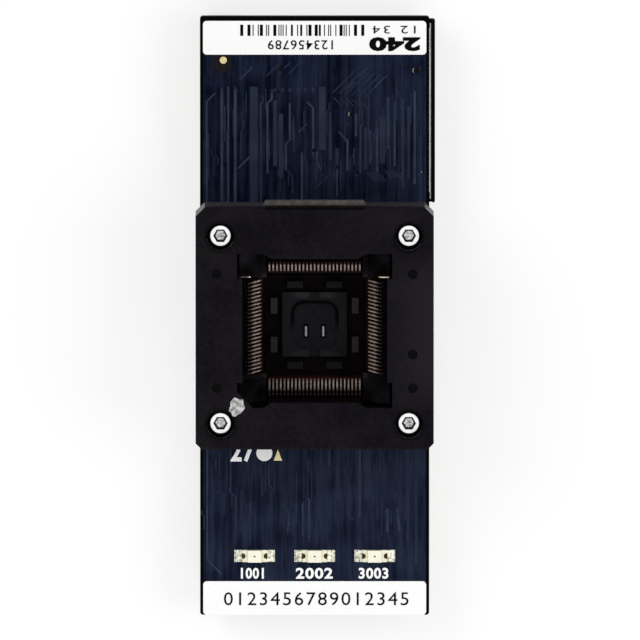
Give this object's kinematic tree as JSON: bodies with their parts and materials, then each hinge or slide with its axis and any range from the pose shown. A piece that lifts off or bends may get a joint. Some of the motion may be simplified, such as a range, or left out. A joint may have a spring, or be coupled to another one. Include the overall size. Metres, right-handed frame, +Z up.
{
  "type": "ic programming adapter",
  "caption": "Narrow circuit board on plug connectors, carrying an open-top test socket whose sprung cover opens rows of contact fingers for a quad flat package, with status lamps.",
  "frame": {"origin": "under the middle of the board, on the surface that the plug connectors stand on", "axes": "+Z up, +Y along the board towards the end without lamps, +X across the board"},
  "size_m": [0.0318, 0.08, 0.0194],
  "materials": {
    "board_mask": "dark navy solder mask over glass laminate",
    "black_mould": "matte black glass-filled moulding",
    "nest_mould": "matte dark moulding",
    "carrier_mould": "dark brown-black moulding",
    "contact_metal": "gold-flashed copper alloy sheet",
    "bright_steel": "bright plated steel",
    "solder": "dull tin",
    "lamp_substrate": "cream laminate",
    "lamp_lens": "milky cast resin",
    "label_paper": "white matte label stock",
    "capacitor_body": "tan fired ceramic",
    "resistor_body": "black glazed film"
  },
  "bodies": {
    "board_assembly": {"circuit_board": "board_mask", "socket_base": "black_mould", "package_nest": "nest_mould", "nest_pad_contacts": "contact_metal", "carrier_east": "carrier_mould", "carrier_north": "carrier_mould", "carrier_west": "carrier_mould", "carrier_south": "carrier_mould", "blades_east": "contact_metal", "blades_north": "contact_metal", "blades_west": "contact_metal", "blades_south": "contact_metal", "cover_springs": "bright_steel", "socket_screws": "bright_steel", "screw_washers": "bright_steel", "screw_nuts": "bright_steel", "plug_ne": "black_mould", "plug_nw": "black_mould", "plug_sw": "black_mould", "plug_se": "black_mould", "plug_contacts_ne": "contact_metal", "plug_contacts_nw": "contact_metal", "plug_contacts_sw": "contact_metal", "plug_contacts_se": "contact_metal", "ground_strip": "bright_steel", "lamp_carriers": "lamp_substrate", "lamp_lenses": "lamp_lens", "lamp_terminals": "solder", "label_north": "label_paper", "label_south": "label_paper", "bypass_capacitors": "capacitor_body", "lamp_resistors": "resistor_body", "chip_end_caps": "solder"},
    "cover": {"socket_cover": "black_mould"},
    "fingers_east_row": {"fingers_east": "contact_metal"},
    "fingers_north_row": {"fingers_north": "contact_metal"},
    "fingers_west_row": {"fingers_west": "contact_metal"},
    "fingers_south_row": {"fingers_south": "contact_metal"}
  },
  "joints": [
    {"name": "cover_press", "type": "slide", "parent": "board_assembly", "child": "cover", "axis": [0, 0, -1], "range_m": [0, 0.002], "stiffness_N_per_m": 2000, "springref_m": -0.002, "deforming": ["cover_springs"]},
    {"name": "fingers_east_swing", "type": "hinge", "parent": "board_assembly", "child": "fingers_east_row", "pos_m": [0.00945, -0.0009, 0.0103], "axis": [0, 1, 0], "range_deg": [0, 27.56]},
    {"name": "fingers_north_swing", "type": "hinge", "parent": "board_assembly", "child": "fingers_north_row", "pos_m": [0, 0.00855, 0.0103], "axis": [-1, 0, 0], "range_deg": [0, 27.56]},
    {"name": "fingers_west_swing", "type": "hinge", "parent": "board_assembly", "child": "fingers_west_row", "pos_m": [-0.00945, -0.0009, 0.0103], "axis": [0, -1, 0], "range_deg": [0, 27.56]},
    {"name": "fingers_south_swing", "type": "hinge", "parent": "board_assembly", "child": "fingers_south_row", "pos_m": [0, -0.01035, 0.0103], "axis": [1, 0, 0], "range_deg": [0, 27.56]}
  ],
  "couplings": [
    {"joint": "fingers_east_swing", "follows": "cover_press", "rad_per_m": 240.4},
    {"joint": "fingers_north_swing", "follows": "cover_press", "rad_per_m": 240.4},
    {"joint": "fingers_west_swing", "follows": "cover_press", "rad_per_m": 240.4},
    {"joint": "fingers_south_swing", "follows": "cover_press", "rad_per_m": 240.4}
  ]
}
